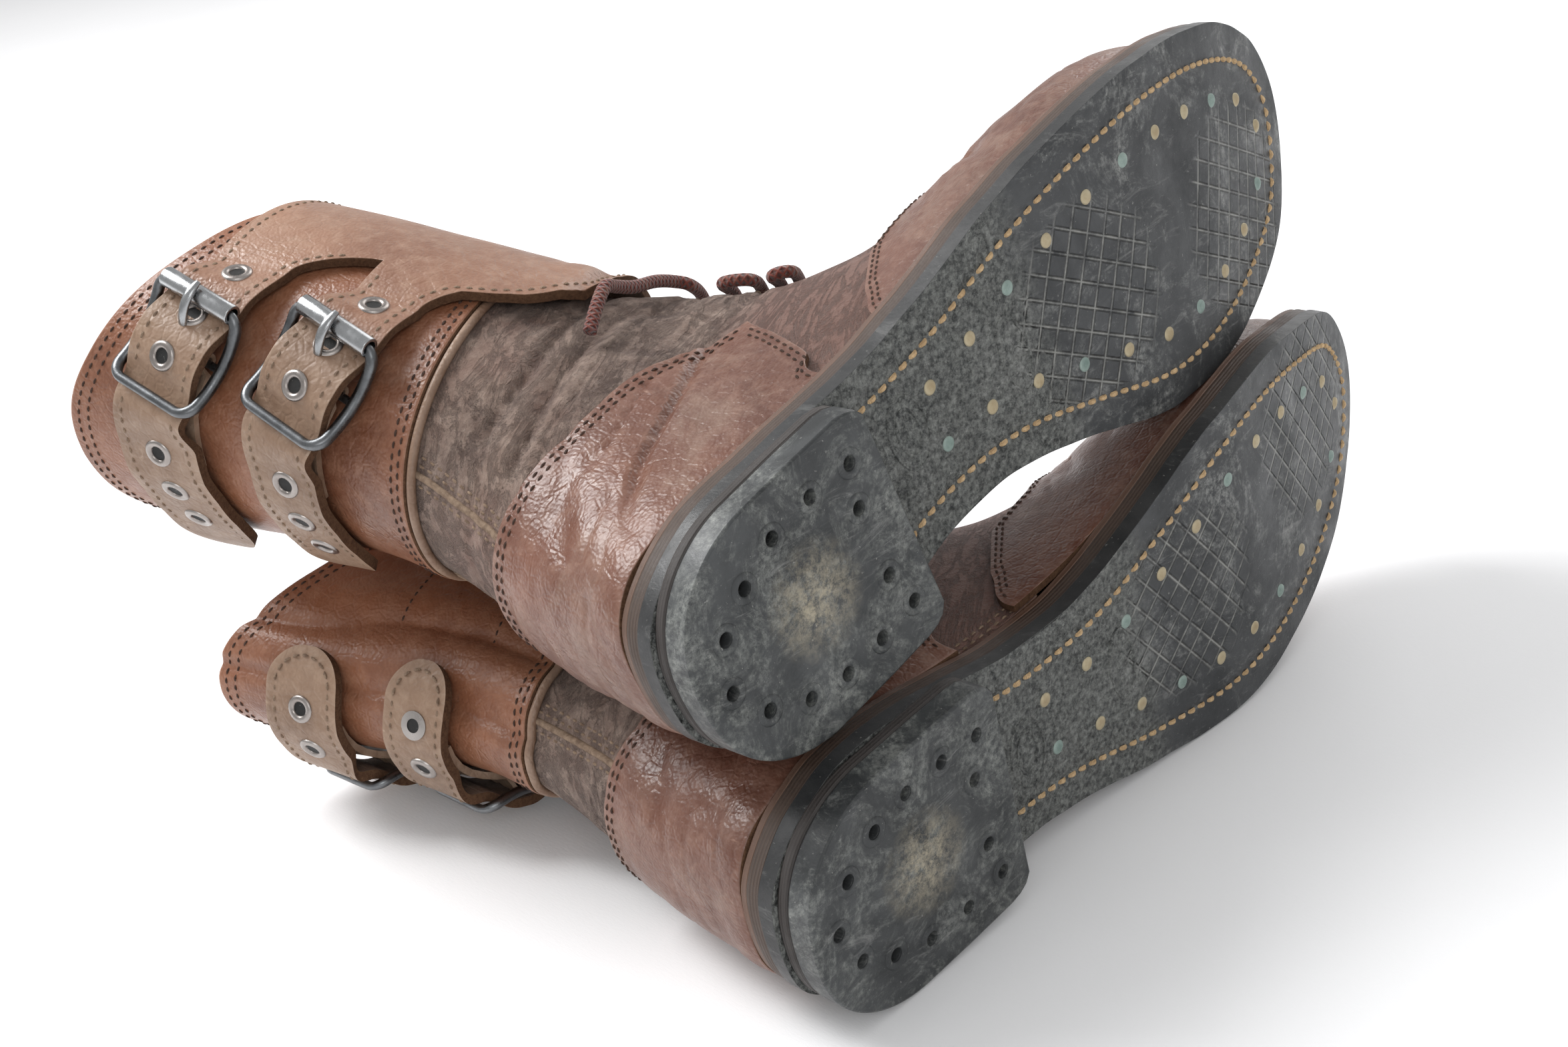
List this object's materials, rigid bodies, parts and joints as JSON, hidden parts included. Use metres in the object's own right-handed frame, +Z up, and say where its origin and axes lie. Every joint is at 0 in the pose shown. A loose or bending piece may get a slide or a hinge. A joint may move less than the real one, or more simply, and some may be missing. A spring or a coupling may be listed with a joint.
{
  "type": "riding boots",
  "caption": "Pair of double-buckle leather riding boots lying on their sides, one resting on the other, with buckled straps, rollers, prongs and stacked soles.",
  "frame": {"origin": "floor level, below the centre of the pair's bounding box", "axes": "+Z up; the toes point to +Y, the soles face +X and the shafts run to -X; the left boot lies underneath, the right boot on top of it"},
  "size_m": [0.269, 0.329, 0.2014],
  "materials": {
    "outsole": "worn charcoal rubber, dusty",
    "heel": "worn charcoal rubber with blind nail holes",
    "heel_lift": "stacked leather, dark edge",
    "midsole": "burnished leather edge, reddish brown",
    "welt": "leather welt, lighter than the midsole",
    "cork_filler": "cork and resin filler",
    "steel_shank": "plain spring steel",
    "insole": "plain veg-tan leather",
    "quarter_outer": "rough-out, dusty grey brown",
    "quarter_inner": "rough-out, dusty grey brown",
    "back_panel": "rough-out, dusty grey brown",
    "heel_counter": "smooth reddish brown, scuffed",
    "vamp": "smooth reddish brown, scuffed",
    "toe_puff": "stiffener, hidden",
    "tongue": "rough-out",
    "cuff": "smooth tan, worn",
    "cuff_flap": "tan to pinkish tan with raw edges",
    "strap_tail": "beige tan grain with raw edges",
    "chape": "thick raw leather",
    "buckle_frame": "dark gunmetal, worn",
    "roller": "bright worn steel",
    "prong": "bright worn steel",
    "lace": "woven rust red cord"
  },
  "bodies": {
    "left_boot": {"left_outsole": "outsole", "left_midsole": "midsole", "left_welt": "welt", "left_cork_filler": "cork_filler", "left_steel_shank": "steel_shank", "left_insole": "insole", "left_heel": "heel", "left_heel_lift": "heel_lift", "left_quarter_outer": "quarter_outer", "left_quarter_inner": "quarter_inner", "left_back_panel": "back_panel", "left_heel_counter": "heel_counter", "left_vamp": "vamp", "left_toe_puff": "toe_puff", "left_tongue": "tongue", "left_cuff": "cuff", "left_cuff_flap": "cuff_flap", "left_chape_upper": "chape", "left_chape_lower": "chape", "left_buckle_frame_upper": "buckle_frame", "left_buckle_frame_lower": "buckle_frame", "left_lace": "lace"},
    "right_boot": {"right_outsole": "outsole", "right_midsole": "midsole", "right_welt": "welt", "right_cork_filler": "cork_filler", "right_steel_shank": "steel_shank", "right_insole": "insole", "right_heel": "heel", "right_heel_lift": "heel_lift", "right_quarter_outer": "quarter_outer", "right_quarter_inner": "quarter_inner", "right_back_panel": "back_panel", "right_heel_counter": "heel_counter", "right_vamp": "vamp", "right_toe_puff": "toe_puff", "right_tongue": "tongue", "right_cuff": "cuff", "right_cuff_flap": "cuff_flap", "right_chape_upper": "chape", "right_chape_lower": "chape", "right_buckle_frame_upper": "buckle_frame", "right_buckle_frame_lower": "buckle_frame", "right_lace": "lace"},
    "left_upper_roller": {"left_roller_upper": "roller"},
    "left_upper_prong": {"left_prong_upper": "prong"},
    "left_upper_strap_tail": {"left_strap_tail_upper": "strap_tail"},
    "left_lower_roller": {"left_roller_lower": "roller"},
    "left_lower_prong": {"left_prong_lower": "prong"},
    "left_lower_strap_tail": {"left_strap_tail_lower": "strap_tail"},
    "right_upper_roller": {"right_roller_upper": "roller"},
    "right_upper_prong": {"right_prong_upper": "prong"},
    "right_upper_strap_tail": {"right_strap_tail_upper": "strap_tail"},
    "right_lower_roller": {"right_roller_lower": "roller"},
    "right_lower_prong": {"right_prong_lower": "prong"},
    "right_lower_strap_tail": {"right_strap_tail_lower": "strap_tail"}
  },
  "joints": [
    {"name": "right_boot_lift", "type": "slide", "parent": "left_boot", "child": "right_boot", "axis": [0, 0, 1], "range_m": [0, 0.2]},
    {"name": "left_upper_roller_spin", "type": "hinge", "parent": "left_boot", "child": "left_upper_roller", "pos_m": [-0.07163, -0.10685, 0.00573], "axis": [-0.9966, -0.0065, -0.0824], "continuous": true},
    {"name": "left_upper_prong_hinge", "type": "hinge", "parent": "left_boot", "child": "left_upper_prong", "pos_m": [-0.07229, -0.12077, 0.01473], "axis": [-0.9966, -0.0065, -0.0824], "range_deg": [0, 30]},
    {"name": "left_upper_strap_tail_bend", "type": "hinge", "parent": "left_boot", "child": "left_upper_strap_tail", "pos_m": [-0.07249, -0.13998, 0.01881], "axis": [0.9966, 0.0065, 0.0824], "range_deg": [0, 35]},
    {"name": "left_lower_roller_spin", "type": "hinge", "parent": "left_boot", "child": "left_lower_roller", "pos_m": [-0.0293, -0.09329, 0.00552], "axis": [-0.9962, 0.0382, -0.0788], "continuous": true},
    {"name": "left_lower_prong_hinge", "type": "hinge", "parent": "left_boot", "child": "left_lower_prong", "pos_m": [-0.03053, -0.10738, 0.0142], "axis": [-0.9962, 0.0382, -0.0788], "range_deg": [0, 30]},
    {"name": "left_lower_strap_tail_bend", "type": "hinge", "parent": "left_boot", "child": "left_lower_strap_tail", "pos_m": [-0.03154, -0.12666, 0.01783], "axis": [0.9962, -0.0382, 0.0788], "range_deg": [0, 35]},
    {"name": "right_upper_roller_spin", "type": "hinge", "parent": "right_boot", "child": "right_upper_roller", "pos_m": [-0.07747, -0.13718, 0.17852], "axis": [0.9014, 0.1755, -0.3957], "continuous": true},
    {"name": "right_upper_prong_hinge", "type": "hinge", "parent": "right_boot", "child": "right_upper_prong", "pos_m": [-0.08226, -0.14445, 0.1644], "axis": [0.9014, 0.1755, -0.3957], "range_deg": [0, 30]},
    {"name": "right_upper_strap_tail_bend", "type": "hinge", "parent": "right_boot", "child": "right_upper_strap_tail", "pos_m": [-0.08527, -0.15867, 0.15121], "axis": [-0.9014, -0.1755, 0.3957], "range_deg": [0, 35]},
    {"name": "right_lower_roller_spin", "type": "hinge", "parent": "right_boot", "child": "right_lower_roller", "pos_m": [-0.03527, -0.12064, 0.1697], "axis": [0.8996, 0.1277, -0.4177], "continuous": true},
    {"name": "right_lower_prong_hinge", "type": "hinge", "parent": "right_boot", "child": "right_lower_prong", "pos_m": [-0.04052, -0.12842, 0.15601], "axis": [0.8996, 0.1277, -0.4177], "range_deg": [0, 30]},
    {"name": "right_lower_strap_tail_bend", "type": "hinge", "parent": "right_boot", "child": "right_lower_strap_tail", "pos_m": [-0.0442, -0.14315, 0.14356], "axis": [-0.8996, -0.1277, 0.4177], "range_deg": [0, 35]}
  ]
}
